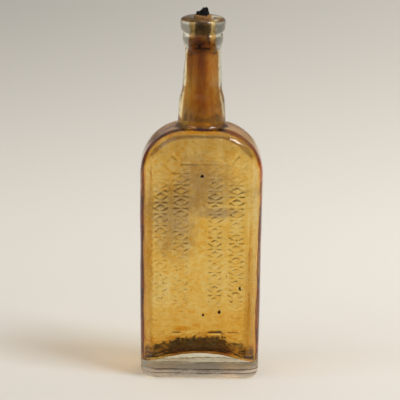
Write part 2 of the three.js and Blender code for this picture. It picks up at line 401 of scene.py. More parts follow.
# ---------------------------------------------------------------- meshes


def mesh_object(name, points, faces, material):
    """A smooth mesh in the scene, from points in millimetres."""
    mesh = bpy.data.meshes.new(name)
    mesh.from_pydata((np.asarray(points) / 1000).tolist(), [], faces)
    mesh.validate()
    mesh.polygons.foreach_set("use_smooth", [True] * len(mesh.polygons))
    mesh.update()
    made = bpy.data.objects.new(name, mesh)
    bpy.context.scene.collection.objects.link(made)
    mesh.materials.append(material)
    return made


def sheet_faces(rows, columns, first=0):
    """Quads between rings of points, closed round the columns."""
    faces = []
    for i in range(rows - 1):
        a = first + i * columns
        for j in range(columns):
            k = (j + 1) % columns
            faces.append((a + j, a + k, a + columns + k, a + columns + j))
    return faces


def closed_sheet(rows, first_pole, last_pole):
    """Points and faces of rings closed by a point at each end."""
    count, columns = rows.shape[:2]
    points = np.concatenate([[first_pole], rows.reshape(-1, 3), [last_pole]])
    faces = sheet_faces(count, columns, 1)
    last = 1 + (count - 1) * columns
    for j in range(columns):
        k = (j + 1) % columns
        faces.append((0, 1 + k, 1 + j))
        faces.append((last + j, last + k, len(points) - 1))
    return points, faces


def ring_normals(rows):
    """Unit normals of a sheet of rings, pointing away from the axis where the rings run upwards."""
    along = np.gradient(rows, axis=0)
    around = np.roll(rows, -1, 1) - np.roll(rows, 1, 1)
    normal = np.cross(around, along)
    return normal / np.maximum(np.linalg.norm(normal, axis=2, keepdims=True), 1e-9)


# ---------------------------------------------------------------- node trees


class Nodes:
    """Short calls for building a material's nodes."""

    def __init__(self, name):
        self.material = bpy.data.materials.new(name)
        self.material.use_nodes = True
        self.tree = self.material.node_tree
        self.tree.nodes.clear()
        self.output = self.tree.nodes.new("ShaderNodeOutputMaterial")
        self.place = self.node("ShaderNodeTexCoord").outputs["Object"]

    def node(self, kind, **settings):
        made = self.tree.nodes.new(kind)
        for key, value in settings.items():
            if key in made.inputs:
                self.feed(made.inputs[key], value)
            else:
                setattr(made, key, value)
        return made

    def feed(self, socket, value):
        if isinstance(value, bpy.types.NodeSocket):
            self.tree.links.new(value, socket)
        elif socket.type == "RGBA" and len(value) == 3:
            socket.default_value = (*value, 1)
        else:
            socket.default_value = value

    def surface(self, shader):
        self.tree.links.new(shader, self.output.inputs["Surface"])

    def maths(self, operation, *values):
        made = self.tree.nodes.new("ShaderNodeMath")
        made.operation = operation
        for socket, value in zip(made.inputs, values):
            self.feed(socket, value)
        return made.outputs[0]

    def plus(self, a, b):
        return self.maths("ADD", a, b)

    def minus(self, a, b):
        return self.maths("SUBTRACT", a, b)

    def times(self, a, b):
        return self.maths("MULTIPLY", a, b)

    def times_plus(self, a, b, c):
        """a times b, plus c."""
        return self.maths("MULTIPLY_ADD", a, b, c)

    def larger(self, a, b):
        return self.maths("MAXIMUM", a, b)

    def smaller(self, a, b):
        return self.maths("MINIMUM", a, b)

    def size(self, a):
        """The value without its sign."""
        return self.maths("ABSOLUTE", a)

    def combined(self, red, green, blue):
        return self.node("ShaderNodeCombineXYZ", X=red, Y=green, Z=blue).outputs[0]

    def axis(self, index):
        return self.node("ShaderNodeSeparateXYZ", Vector=self.place).outputs[index]

    def stretched(self, x, y, z):
        made = self.tree.nodes.new("ShaderNodeVectorMath")
        made.operation = "MULTIPLY"
        self.feed(made.inputs[0], self.place)
        made.inputs[1].default_value = (x, y, z)
        return made.outputs[0]

    def noise(self, scale, detail=3.0, roughness=0.55, place=None, distortion=0.0):
        made = self.tree.nodes.new("ShaderNodeTexNoise")
        self.feed(made.inputs["Vector"], place or self.place)
        made.inputs["Scale"].default_value = scale
        made.inputs["Detail"].default_value = detail
        made.inputs["Roughness"].default_value = roughness
        made.inputs["Distortion"].default_value = distortion
        return made.outputs["Fac"]

    def cells(self, scale, place=None):
        made = self.tree.nodes.new("ShaderNodeTexVoronoi")
        self.feed(made.inputs["Vector"], place or self.place)
        made.inputs["Scale"].default_value = scale
        return made.outputs["Distance"]

    def ramp(self, value, start, end, low=0.0, high=1.0, smooth=True):
        """value from start to end becomes low to high, held outside."""
        made = self.tree.nodes.new("ShaderNodeMapRange")
        made.interpolation_type = "SMOOTHSTEP" if smooth else "LINEAR"
        for socket, number in zip(made.inputs, (value, start, end, low, high)):
            self.feed(socket, number)
        return made.outputs[0]

    def blend(self, share, a, b, kind="MIX"):
        made = self.tree.nodes.new("ShaderNodeMix")
        made.data_type = "RGBA"
        made.blend_type = kind
        self.feed(made.inputs["Factor"], share)
        self.feed(made.inputs[6], a)
        self.feed(made.inputs[7], b)
        return made.outputs[2]

    def mix(self, share, a, b):
        made = self.tree.nodes.new("ShaderNodeMixShader")
        self.feed(made.inputs[0], share)
        self.tree.links.new(a, made.inputs[1])
        self.tree.links.new(b, made.inputs[2])
        return made.outputs[0]

    def bump(self, height, strength, distance):
        made = self.tree.nodes.new("ShaderNodeBump")
        made.inputs["Strength"].default_value = strength
        made.inputs["Distance"].default_value = distance
        self.feed(made.inputs["Height"], height)
        return made.outputs["Normal"]

    def principled(self, **inputs):
        made = self.tree.nodes.new("ShaderNodeBsdfPrincipled")
        for key, value in inputs.items():
            self.feed(made.inputs[key.replace("_", " ")], value)
        return made.outputs[0]


def glass_roughness(n, pits):
    """Pits and smears all over, a chalky underside, and a frosted mouth."""
    z = n.axis(2)
    smears = n.noise(38, 4, 0.6, n.stretched(1, 1, 0.35))
    rough = n.times_plus(pits, 0.10, n.ramp(smears, 0.45, 0.75, 0.004, 0.03))
    hollow = n.times(n.ramp(z, 0.0060, 0.0054), n.ramp(n.size(n.axis(1)), 0.0165, 0.0145))
    hollow = n.times(hollow, n.ramp(n.size(n.axis(0)), 0.0325, 0.0300))
    foot_ring = n.ramp(z, 0.0012, 0.0003, 0.0, 0.6)
    rough = n.times_plus(n.larger(foot_ring, hollow), 0.42, rough)
    return n.plus(rough, n.ramp(z, 0.2015, 0.2035, 0.0, 0.14))


def glass_relief(n, pits):
    """Height of the ripples, hammering and pits in the glass's skin."""
    height = n.times_plus(pits, -0.35, n.noise(60, 2, 0.5, n.stretched(1, 1, 0.4)))
    height = n.times_plus(n.noise(280, 3, 0.5), 0.55, height)
    return n.times_plus(n.noise(720, 2), 0.22, height)


def edge_amber_painted_light(n, z):
    """1 on the edges of the shoulders and the sides, where only glass is looked through, and 0 elsewhere.
    There amber is painted into the glass as painted light: the stain's colour that light from inside carries
    to the edges.
    """
    across = n.larger(n.minus(n.size(n.axis(0)), SHOULDER_X / 1000), 0.0)
    upward = n.larger(n.minus(z, SHOULDER_Z / 1000), 0.0)
    far = n.maths("SQRT", n.plus(n.times(across, across), n.times(upward, upward)))
    painted_amber_light = n.times(n.ramp(far, 0.0235, 0.0265), n.ramp(z, 0.122, 0.134, 0.55, 1.0))
    painted_amber_light = n.times(painted_amber_light, n.times(n.ramp(z, 0.1620, 0.1560), n.ramp(z, 0.012, 0.022)))
    return n.times(painted_amber_light, n.ramp(n.noise(70, 3, 0.6), 0.3, 0.7, 0.75, 1.1))


def glass_tint(n, z):
    """Nearly clear glass with amber painted on its edges as painted light from the stain inside, and which
    has taken up the stain's colour in the neck.
    """
    # the amber on the edges is painted light from the stain inside; the glass itself is clear there
    tinted = n.blend(edge_amber_painted_light(n, z), (0.985, 0.99, 0.972), (0.95, 0.70, 0.16))
    necked = n.times(n.ramp(z, 0.1550, 0.1590), n.ramp(z, 0.2060, 0.2000))
    in_neck = n.blend(n.ramp(z, 0.168, 0.180), (0.93, 0.82, 0.54), (0.955, 0.89, 0.70))
    return n.blend(necked, tinted, in_neck)


def heel_wear(n, z):
    """How hazy the rubbed heel is."""
    rubbed = n.noise(45, 4, 0.6, n.stretched(0.35, 0.35, 4.0))
    return n.times(n.ramp(z, 0.0098, 0.0040, 0.0, 0.50), n.ramp(rubbed, 0.30, 0.62, 0.25, 1.0))


def foot_lines_painted_shade(n, z):
    """Three thin wavering dark lines across the foot: painted shade in place of the dark lines that the
    edges of the hollow, the ring and the heel show through the glass.
    """
    wavy = n.times_plus(n.noise(45, 2, 0.5, n.stretched(1, 0.2, 0)), 0.0016, n.minus(z, 0.0008))
    heights = (0.0112, 0.0068, 0.0043)
    lines = [n.ramp(n.size(n.minus(wavy, height)), 0.0006, 0.0002) for height in heights]
    line = n.larger(lines[0], n.larger(lines[1], lines[2]))
    return n.times(line, n.ramp(n.noise(80, 3, 0.6), 0.3, 0.6, 0.40, 1.0))


def glass_material():
    n = Nodes("old_clear_glass")
    z = n.axis(2)
    pits = n.ramp(n.noise(900, 2), 0.66, 0.74)
    worn = heel_wear(n, z)
    colour = n.blend(worn, glass_tint(n, z), (0.82, 0.66, 0.50))
    glass = n.principled(
        # the dark lines across the foot are painted shade
        Base_Color=n.blend(foot_lines_painted_shade(n, z), colour, (0.13, 0.10, 0.04)),
        Roughness=glass_roughness(n, pits),
        IOR=1.51,
        Transmission_Weight=n.minus(1.0, worn),
        Normal=n.bump(glass_relief(n, pits), 0.40, 0.0006),
    )
    open_to_lamps = n.node("ShaderNodeBsdfTransparent", Color=(0.80, 0.80, 0.77)).outputs[0]
    shadow = n.node("ShaderNodeLightPath").outputs["Is Shadow Ray"]
    n.surface(n.mix(shadow, glass, open_to_lamps))
    depth = n.node("ShaderNodeVolumeAbsorption", Color=(0.84, 0.83, 0.70), Density=26.0).outputs[0]
    n.tree.links.new(depth, n.output.inputs["Volume"])
    return n.material


def ellipse(n, x, z, middle, half):
    """0 at the middle of an upright ellipse on the front, 1 on its edge, growing outwards."""
    across = n.maths("DIVIDE", n.minus(x, middle[0]), half[0])
    upward = n.maths("DIVIDE", n.minus(z, middle[1]), half[1])
    return n.plus(n.times(across, across), n.times(upward, upward))


SMOKE_LOBES = [  # (middle, half the size) of each part of the smoky cloud, as (across, up)
    ((0.0010, 0.1235), (0.0145, 0.0140)),
    ((-0.0070, 0.1100), (0.0120, 0.0080)),
    ((-0.0158, 0.1005), (0.0120, 0.0195)),
    ((0.0090, 0.1040), (0.0140, 0.0030)),
]


def smoke_patch(n, x, z):
    """The smoky cloud on the front wall: three lobes and a streak, with torn edges."""
    lobes = [ellipse(n, x, z, middle, half) for middle, half in SMOKE_LOBES]
    far = n.smaller(n.smaller(n.smaller(lobes[0], lobes[1]), lobes[2]), lobes[3])
    far = n.plus(far, n.times_plus(n.noise(60, 5, 0.7, distortion=0.8), 4.0, -2.0))
    far = n.plus(far, n.times_plus(n.noise(260, 4, 0.7), 2.0, -1.0))
    return n.times(n.ramp(far, -0.5, 2.4, 1.0, 0.0), n.ramp(n.axis(1), -0.010, -0.014))


def plain_amber(n, z, neck, core, off_middle):
    """Amber stain before it's broken up: thicker in the middle of the neck and thinner at its sides."""
    amber = n.times_plus(neck, n.times_plus(core, 1.2, 1.15), n.ramp(z, 0.030, 0.135, 1.85, 2.15))
    thinned = n.times(n.ramp(off_middle, 0.0042, 0.0070, 0.0, 0.30), neck)
    return n.times(amber, n.minus(1.0, thinned))


def mottled(n, amber, broad, drips):
    """Amber stain broken up at four sizes."""
    curdled = n.noise(300, 4, 0.6)
    scratched = n.noise(520, 3, 0.6, n.stretched(0.5, 1, 1.6))
    amber = n.times(amber, n.ramp(broad, 0.3, 0.7, 0.82, 1.18))
    amber = n.times(amber, n.ramp(drips, 0.3, 0.75, 0.84, 1.25))
    amber = n.times(amber, n.ramp(curdled, 0.3, 0.75, 0.72, 1.40))
    return n.times(amber, n.ramp(scratched, 0.3, 0.7, 0.78, 1.24))


def foot_amber(n, x, z, amber):
    """Amber stain with the tide marks, the slow darkening and the orange spot near the foot."""
    tide = n.ramp(n.noise(120, 4, 0.6, n.stretched(1, 1, 4.0)), 0.56, 0.70)
    low = n.times(n.ramp(z, 0.034, 0.026), n.ramp(z, 0.018, 0.024))
    amber = n.times_plus(n.times(tide, low), 4.5, amber)
    amber = n.plus(amber, n.ramp(z, 0.055, 0.026, 0.0, 0.60))
    spot = ellipse(n, x, z, (-0.0108, 0.0318), (0.0062, 0.0017))
    spot = n.times_plus(n.noise(300, 3), 1.6, n.minus(spot, 0.8))
    return n.plus(amber, n.ramp(spot, 0.2, 1.2, 3.0, 0.0))


def heavier_places(n, x, z, broad):
    """Places with more stain, and a darker band just over the dregs, each with the amber and the smoke that
    it adds.
    """
    down_left = n.times(n.ramp(x, -0.0285, -0.0325), n.ramp(z, 0.120, 0.100))
    down_left = n.times(down_left, n.ramp(broad, 0.3, 0.7, 0.6, 1.2))
    low_right = n.times(n.ramp(x, 0.0250, 0.0290), n.ramp(z, 0.085, 0.065))
    # a darker band just over the dregs, in the middle of the floor's length
    over_dregs = n.times(n.ramp(z, 0.0215, 0.0185), n.ramp(n.size(x), 0.024, 0.014))
    under_cork = n.ramp(z, 0.180, 0.194)
    return [(down_left, 1.5, 2.4), (low_right, 0.5, 0.9), (over_dregs, 1.4, 1.2), (under_cork, 1.2, 0.9)]


def thinned_out(n, x, z, amber, smoke):
    """Both stains made thinner high on the right, on the right of the neck, and at the sides."""
    high = n.times(n.ramp(z, 0.085, 0.100), n.ramp(z, 0.148, 0.140))
    high_right = n.times(n.ramp(x, 0.014, 0.022), high)
    amber = n.times(amber, n.times_plus(high_right, -0.12, 1.0))
    smoke = n.times(smoke, n.times_plus(high_right, -0.75, 1.0))
    neck_right = n.times(n.ramp(x, 0.0010, 0.0042, 0.0, 0.45), n.ramp(z, 0.174, 0.186))
    smoke = n.times(smoke, n.minus(1.0, neck_right))
    amber = n.times(amber, n.ramp(n.size(x), 0.027, 0.033, 1.0, 0.8))
    return amber, n.times(smoke, n.ramp(n.size(x), 0.026, 0.033, 1.0, 0.35))


def stain_densities(n):
    """How much amber and how much smoky stain lies at each place on the film, through both walls."""
    x, z = n.axis(0), n.axis(2)
    broad = n.noise(26, 3, 0.5, distortion=0.6)
    drips = n.noise(95, 4, 0.6, n.stretched(1, 1, 0.16))
    neck = n.ramp(z, 0.1525, 0.168)
    off_middle = n.size(n.plus(x, 0.0005))
    core = n.ramp(off_middle, 0.0045, 0.0010)
    amber = mottled(n, plain_amber(n, z, neck, core, off_middle), broad, drips)
    amber = foot_amber(n, x, z, amber)
    smoke = n.times_plus(neck, n.times_plus(core, 1.2, 1.30), n.ramp(z, 0.080, 0.150, 0.0, 0.60))
    for place, more_amber, more_smoke in heavier_places(n, x, z, broad):
        amber = n.times_plus(place, more_amber, amber)
        smoke = n.times_plus(place, more_smoke, smoke)
    amber, smoke = thinned_out(n, x, z, amber, smoke)
    cloud = smoke_patch(n, x, z)
    amber = n.times(amber, n.times_plus(cloud, -0.52, 1.0))
    smoke = n.times_plus(cloud, 2.75, n.times(smoke, n.ramp(drips, 0.3, 0.75, 0.7, 1.4)))
    seep = n.plus(z, n.times_plus(n.noise(160, 3), 0.010, -0.005))
    kept = n.ramp(seep, 0.2055, 0.2125, 1.0, 0.25)
    return n.times(amber, kept), n.times(smoke, kept)


def stain_colour(n, amber, smoke):
    """The light that one of the film's skins lets through. It crosses four on its way through both walls."""
    channels = []
    for amber_share, smoke_share in ((0.050, 0.32), (0.264, 0.390), (0.955, 0.36)):
        total = n.times_plus(smoke, smoke_share, n.times(amber, amber_share))
        channels.append(n.maths("EXPONENT", n.times(total, -0.25)))
    return n.combined(*channels)


def dried_crust(n, smoke, caked, specks, grime):
    """What lies on the glass instead of staining it: scum, specks and, on the rim, a cracked crust."""
    cracked = n.ramp(n.noise(420, 4, 0.65), 0.35, 0.65)
    scum = n.blend(n.ramp(smoke, 0.5, 2.0), (0.36, 0.14, 0.025), (0.20, 0.12, 0.07))
    scum = n.blend(caked, scum, n.blend(cracked, (0.07, 0.035, 0.010), (0.36, 0.20, 0.06)))
    scatter = n.principled(
        Base_Color=n.blend(specks, scum, (0.020, 0.009, 0.004)),
        Roughness=n.ramp(grime, 0.0, 1.0, 0.35, 0.7),
    )
    rim_glow = n.blend(cracked, (0.14, 0.07, 0.018), (0.46, 0.26, 0.08))
    lit = n.blend(caked, (0.75, 0.36, 0.07), rim_glow)
    glow = n.node("ShaderNodeBsdfTranslucent", Color=lit).outputs[0]
    return n.mix(0.5, scatter, glow)


def film_material():
    n = Nodes("dried_amber_stain")
    rim = RIM / 1000
    amber, smoke = stain_densities(n)
    clear = n.node("ShaderNodeBsdfTransparent", Color=stain_colour(n, amber, smoke)).outputs[0]
    grime = n.ramp(n.noise(120, 5, 0.65), 0.52, 0.72)
    specks = n.times(n.ramp(n.cells(420), 0.20, 0.10), grime)
    leftward = n.times_plus(n.noise(330, 3), 0.008, n.minus(n.axis(0), 0.004))
    caked = n.times(n.ramp(n.axis(2), rim - 0.0035, rim - 0.0012), n.ramp(leftward, 0.006, 0.001))
    hidden = n.plus(n.times_plus(specks, 0.85, 0.008), n.ramp(smoke, 1.2, 2.8, 0.0, 0.04))
    hidden = n.larger(hidden, n.times(caked, 0.85))
    n.surface(n.mix(hidden, clear, dried_crust(n, smoke, caked, specks, grime)))
    return n.material


def dregs_material():
    n = Nodes("dried_dregs")
    patches = n.noise(210, 5, 0.65)
    fine = n.noise(1400, 4, 0.6)
    colour = n.blend(n.ramp(patches, 0.35, 0.7), (0.005, 0.002, 0.0015), (0.030, 0.010, 0.006))
    colour = n.blend(n.ramp(fine, 0.55, 0.8, 0.0, 0.5), colour, (0.07, 0.025, 0.009))
    n.surface(
        n.principled(
            Base_Color=colour,
            Roughness=n.ramp(patches, 0.3, 0.7, 0.25, 0.6),
            Specular_IOR_Level=0.3,
            Normal=n.bump(n.times_plus(fine, 0.4, patches), 0.6, 0.0008),
        )
    )
    return n.material


def cork_material():
    n = Nodes("old_stained_cork")
    z = n.axis(2)
    grain = n.noise(420, 6, 0.7, n.stretched(1, 1, 0.6))
    pores = n.ramp(n.cells(360, n.stretched(1, 1, 0.55)), 0.22, 0.10)
    rim, foot = RIM / 1000, CORK_LOW[2] / 1000
    ragged = n.times_plus(n.noise(240, 3), -0.005, z)
    soaked = n.ramp(ragged, rim - 0.0070, rim - 0.0045)
    dark = n.blend(grain, (0.014, 0.011, 0.006), (0.090, 0.068, 0.032))
    lower = n.blend(grain, (0.24, 0.17, 0.06), (0.66, 0.54, 0.22))
    lower = n.blend(n.ramp(n.noise(260, 4, 0.7), 0.42, 0.56), lower, (0.050, 0.026, 0.016))
    dark = n.blend(n.ramp(ragged, rim - 0.0135, rim - 0.0088), lower, dark)
    dark = n.blend(n.ramp(z, foot + 0.0022, foot + 0.0032), (0.006, 0.003, 0.002), dark)
    brown = n.blend(grain, (0.20, 0.085, 0.018), (0.36, 0.19, 0.06))
    colour = n.blend(soaked, dark, brown)
    colour = n.blend(n.times(pores, 0.8), colour, (0.012, 0.007, 0.004))
    n.surface(
        n.principled(
            Base_Color=colour,
            Roughness=n.ramp(grain, 0.3, 0.7, 0.6, 0.9),
            Normal=n.bump(n.minus(grain, pores), 0.7, 0.0006),
        )
    )
    return n.material


def pitch_material():
    n = Nodes("broken_black_pitch")
    lumps = n.noise(700, 4, 0.6)
    dust = n.ramp(n.noise(1800, 3), 0.55, 0.75, 0.0, 0.5)
    n.surface(
        n.principled(
            Base_Color=n.blend(dust, (0.003, 0.003, 0.003), (0.022, 0.019, 0.016)),
            Roughness=n.ramp(lumps, 0.3, 0.7, 0.45, 0.75),
            Specular_IOR_Level=0.12,
            Normal=n.bump(lumps, 0.6, 0.0006),
        )
    )
    return n.material


# ---------------------------------------------------------------- the pieces


def ball_rings(steps, columns):
    """Rings of a ball of radius 1, upwards, without its two poles."""
    turn = np.linspace(0, 2 * math.pi, columns, endpoint=False)
    rings = []
    for i in range(1, steps):
        tilt = math.pi * i / steps
        level = np.full(columns, -math.cos(tilt))
        rings.append(np.stack([math.sin(tilt) * np.cos(turn), math.sin(tilt) * np.sin(turn), level], 1))
    return np.array(rings)


def add_bubbles(points, faces):
    """Small drawn-out bubbles of air in the front and back walls, as cavities of the glass's own mesh."""
    points, faces = [points], list(faces)
    first = len(points[0])
    for _ in range(34):
        side = -1 if rng.random() < 0.7 else 1
        centre = [rng.uniform(-27, 27), side * (HALF_DEPTH - rng.uniform(1.2, 1.8)), rng.uniform(20, 132)]
        width = rng.uniform(0.14, 0.42)
        radii = np.array([width, min(width, 0.4), width * rng.uniform(1.1, 2.2)])
        rings = ball_rings(6, 8) * radii + centre
        upward = np.array([0, 0, radii[2]])
        bubble, skin = closed_sheet(rings, centre - upward, centre + upward)
        points.append(bubble)
        faces += [tuple(k + first for k in face[::-1]) for face in skin]
        first += len(bubble)
    return np.concatenate(points), faces


def glass_bottle(outer, inner):
    normals = ring_normals(outer)
    flat = outer.reshape(-1, 3)
    height = waves(14, 22, 60, 11)(flat) * 0.10 + waves(18, 6, 15, 12)(flat) * 0.025
    height *= smooth_step(flat[:, 2], 1.0, 8.0)
    front = smooth_step(-flat[:, 1], HALF_DEPTH - 0.8, HALF_DEPTH - 0.3)
    raised = ornament(flat[:, 0], flat[:, 2]) * front * 0.48 + seams(flat[:, 0], flat[:, 2])
    moved = flat + normals.reshape(-1, 3) * height[:, None]
    moved[:, 1] -= raised * np.sign(-flat[:, 1])
    rows = np.concatenate([moved.reshape(outer.shape), inner])
    floor_pole = [0, 0, inner[-1, :, 2].mean()]
    points, faces = closed_sheet(rows, [0, 0, PUSH_UP], floor_pole)
    points, faces = add_bubbles(points, faces)
    made = mesh_object("glass_bottle_blown", points, faces, glass_material())
    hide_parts("glass_bottle")
    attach(made, "bottle")
    return made


def residue_film(outer, inner):
    rows = np.concatenate([outer[-15:], inner])
    normals = ring_normals(rows)
    outer_skin = (rows - normals * STAIN_DEEP)[::-1]
    inner_skin = rows - normals * STAIN_SHALLOW
    low = rows[-1, :, 2].mean()
    sheet = np.concatenate([outer_skin, inner_skin])
    points, faces = closed_sheet(sheet, [0, 0, low - STAIN_DEEP], [0, 0, low - STAIN_SHALLOW])
    made = mesh_object("residue_film_stain", points, faces, film_material())
    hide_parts("residue_film")
    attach(made, "bottle")
    return made


def dregs_shape():
    """A grid of points over the floor with the height of the floor and how thick the dregs are there."""
    step = 0.62
    xs = np.arange(-33.5, 33.6, step)
    ys = np.arange(-18.5, 18.6, step)
    x, y = [a.ravel() for a in np.meshgrid(xs, ys, indexing="ij")]
    start = np.stack([x, y, np.full(len(x), OVER_FLOOR)], 1)
    wall = -inner_space(start)
    below = cast(inner_space, start, np.broadcast_to([0, 0, -1.0], start.shape), 20)
    lump = waves(20, 3.0, 12, 21)(start)
    ragged = waves(24, 2.2, 7, 22)(start)
    flanks = smooth_step(np.abs(x + 1 + 2.0 * lump), 14, 29)
    gaps = smooth_step(ragged + 0.4 * lump - 0.35 * smooth_step(-x, 12, 20), -0.7, 0.1)
    thick = 0.75 + 0.35 * lump - 2.2 * flanks * gaps
    crept = 0.3 * np.exp(-np.maximum(wall - 0.5, 0) / 1.6) * (1 + 0.5 * ragged)
    thick += crept * smooth_step(y, -4, 8) * (1 - 0.8 * smooth_step(np.abs(x), 8, 24))
    pool = FLOOR_ENDS + 3.6 + 0.5 * lump - below[:, 2]
    thick = np.maximum(thick, pool * smooth_step(np.abs(x), 22.5, 26) * smooth_step(-y, 6, 10))
    shape = (len(xs), len(ys))
    return [a.reshape(shape) for a in (x, y, below[:, 2] + 0.3, thick, wall)]


# For each side of a cell: the step to the next cell, and the two corners of the side.
CELL_SIDES = [((0, -1), (0, 1)), ((1, 0), (1, 2)), ((0, 1), (2, 3)), ((-1, 0), (3, 0))]


def skin_faces(cell, number):
    """The faces of a sheet two skins thick, over the cells that are kept of a grid of numbered points."""
    rows, columns = cell.shape
    shift = number.size
    faces = []
    for i, j in zip(*np.nonzero(cell)):
        ring = [number[i, j], number[i + 1, j], number[i + 1, j + 1], number[i, j + 1]]
        faces.append([int(k) + shift for k in ring])
        faces.append([int(k) for k in ring[::-1]])
        for (di, dj), (a, b) in CELL_SIDES:
            ni, nj = i + di, j + dj
            inside = 0 <= ni < rows and 0 <= nj < columns and cell[ni, nj]
            if not inside:
                a, b = int(ring[a]), int(ring[b])
                faces.append([a, b, b + shift, a + shift])
    return faces


def residue_cake():
    x, y, low, thick, wall = dregs_shape()
    kept = (wall > 0.5) & (thick > 0.25)
    cell = kept[:-1, :-1] & kept[1:, :-1] & kept[1:, 1:] & kept[:-1, 1:]
    number = np.arange(x.size).reshape(x.shape)
    lower = np.stack([x, y, low], 2).reshape(-1, 3)
    upper = np.stack([x, y, low + thick], 2).reshape(-1, 3)
    points = np.concatenate([lower, upper])
    made = mesh_object("residue_cake_dregs", points, skin_faces(cell, number), dregs_material())
    tidy_mesh(made)
    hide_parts("residue_cake")
    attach(made, "bottle")
    return made


def tidy_mesh(piece):
    """Drops loose points and turns every face outwards."""
    work = bmesh.new()
    work.from_mesh(piece.data)
    bmesh.ops.delete(work, geom=[v for v in work.verts if not v.link_faces], context="VERTS")
    bmesh.ops.recalc_face_normals(work, faces=work.faces)
    work.to_mesh(piece.data)
    work.free()


def flake(node, seed, material):
    """A torn scab of dried dregs in the place of its CAD solid."""
    low, high = box_mm(node)
    middle, half = (low + high) / 2, (high - low) / 2
    rings = ball_rings(13, 22)
    ragged = waves(10, 0.5, 1.6, seed)(rings.reshape(-1, 3)).reshape(rings.shape[:2])
    rings = rings * (0.86 + 0.14 * ragged)[:, :, None] * half * 0.98 + middle
    upward = np.array([0, 0, half[2] * 0.8])
    points, faces = closed_sheet(rings, middle - upward, middle + upward)
    made = mesh_object(node + "_scab", points, faces, material)
    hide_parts(node)
    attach(made, "bottle")
    return made


def cork_profile(foot, top, radius):
    """(radius, height) points up the cork: its foot, its slightly tapered side and its worn top."""
    profile = [(radius * 0.25, foot), (radius * 0.55, foot)]
    profile += [(radius * 0.80, foot + 0.05), (radius * 0.9, foot + 0.4)]
    for z in np.linspace(foot + 1.0, top - 0.9, 56):
        profile.append((radius * (0.935 + 0.06 * (z - foot) / (top - foot)), z))
    profile += [(radius * 0.97, top - 0.4), (radius * 0.90, top - 0.1)]
    return profile + [(radius * 0.7, top), (radius * 0.35, top)]


def cork_stopper():
    foot, top = CORK_LOW[2] + 1.2, CORK_HIGH[2]
    columns = 72
    turn = np.linspace(0, 2 * math.pi, columns, endpoint=False)
    way = np.stack([np.cos(turn), np.sin(turn), np.zeros(columns)], 1)
    rings = np.array([way * r + [0, 0, z] for r, z in cork_profile(foot, top, CORK_HIGH[0])])
    flat = rings.reshape(-1, 3)
    pitted = waves(26, 1.1, 4.5, 31)(flat)
    height = 0.10 * pitted - 0.30 * smooth_step(pitted, 0.7, 1.5)
    crumbled = smooth_step(flat[:, 2], top - 1.6, top) * waves(16, 1.5, 5, 32)(flat)
    height -= 0.35 * np.maximum(crumbled, 0)
    rings = rings + ring_normals(rings) * height.reshape(rings.shape[:2])[:, :, None]
    rings[..., 2] = np.minimum(rings[..., 2], top)
    points, faces = closed_sheet(rings, [0, 0, foot], [0, 0, top])
    made = mesh_object("cork_stopper_bark", points, faces, cork_material())
    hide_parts("cork_stopper")
    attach(made, "stopper")
    return made


def pitch_seal():
    """A thin broken skirt of pitch with a jagged lump on it, and a lower lobe at its left."""
    foot, height = SEAL_LOW[2], SEAL_HIGH[2] - SEAL_LOW[2]
    columns, steps = 84, 34
    turn = np.linspace(0, 2 * math.pi, columns, endpoint=False)
    way = np.stack([np.cos(turn), np.sin(turn), np.zeros(columns)], 1)
    reach = 4.3 + 0.35 * waves(9, 1.6, 6, 41)(way * 4)
    knobs, chips = waves(20, 1.1, 3.6, 42), waves(24, 0.5, 1.3, 43)
    lumps = [(1.1, 0.2, 2.7, height - 0.9), (-3.0, -0.4, 1.5, 1.6)]  # (x, y, radius, rise) of each
    lumps += [(2.9, -0.9, 1.3, 1.4), (-0.8, 1.6, 2.0, 1.7)]
    rings = []
    for share in np.linspace(0.04, 1, steps)[::-1]:
        ring = way * (reach * share)[:, None]
        top = np.full(columns, 0.45)
        for x, y, radius, rise in lumps:
            far = np.hypot(ring[:, 0] - x, ring[:, 1] - y) / radius
            top = np.maximum(top, 0.45 + rise * np.clip(1 - far**2.2, 0, 1))
        rough = 0.34 * knobs(ring) + 0.20 * chips(ring)
        top += rough * np.clip(top, 0.5, 2.2) * 0.62
        edge = 1 - smooth_step(share, 0.9, 1.0)
        ring[:, 2] = foot + np.clip(top, 0.15, height - 0.05) * np.maximum(edge, 0.08)
        rings.append(ring)
    under = [way * (reach * share)[:, None] + [0, 0, foot] for share in (0.5, 0.98)]
    rings = np.array(under + rings)
    points, faces = closed_sheet(rings, [0, 0, foot], rings[-1].mean(0) + [0, 0, 0.02])
    made = mesh_object("pitch_seal_crumb", points, faces, pitch_material())
    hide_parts("pitch_seal")
    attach(made, "stopper")
    return made


# ---------------------------------------------------------------- floor, light and camera


def floor_material():
    n = Nodes("pale_paper")
    x, y = n.axis(0), n.axis(1)
    # Painted light and shade on the paper: darker near the front and far behind, and lighter to the right
    # and darker to the left, more so further back, as under a lamp on the right.
    shade = n.ramp(y, -0.15, 0.45, 0.88, 1.04)
    shade = n.times(shade, n.ramp(y, 0.4, 1.5, 1.0, 0.885))
    sideways = n.ramp(x, -0.3, 0.3, -0.3, 0.3, smooth=False)
    painted_side_light = n.times(n.ramp(y, 0.0, 1.3, 0.25, 0.60, smooth=False), sideways)
    shade = n.plus(painted_side_light, shade)
    fibre = n.ramp(n.noise(900, 3, 0.6), 0.3, 0.7, 0.0, 0.02)
    colour = n.blend(fibre, (0.790, 0.766, 0.716), (0.70, 0.68, 0.63))
    colour = n.blend(1.0, colour, n.combined(shade, shade, shade), "MULTIPLY")
    # Painted shade: the paper darkens further from the bottle on every side.
    far = n.node("ShaderNodeVectorMath", operation="LENGTH")
    n.feed(far.inputs[0], n.place)
    painted_falloff_shade = n.ramp(far.outputs["Value"], 1.45, 2.5, 1.0, 0.55)
    colour = n.blend(1.0, colour, n.combined(painted_falloff_shade, painted_falloff_shade, painted_falloff_shade), "MULTIPLY")
    n.surface(n.principled(Base_Color=colour, Roughness=0.95, Specular_IOR_Level=0.1))
    return n.material


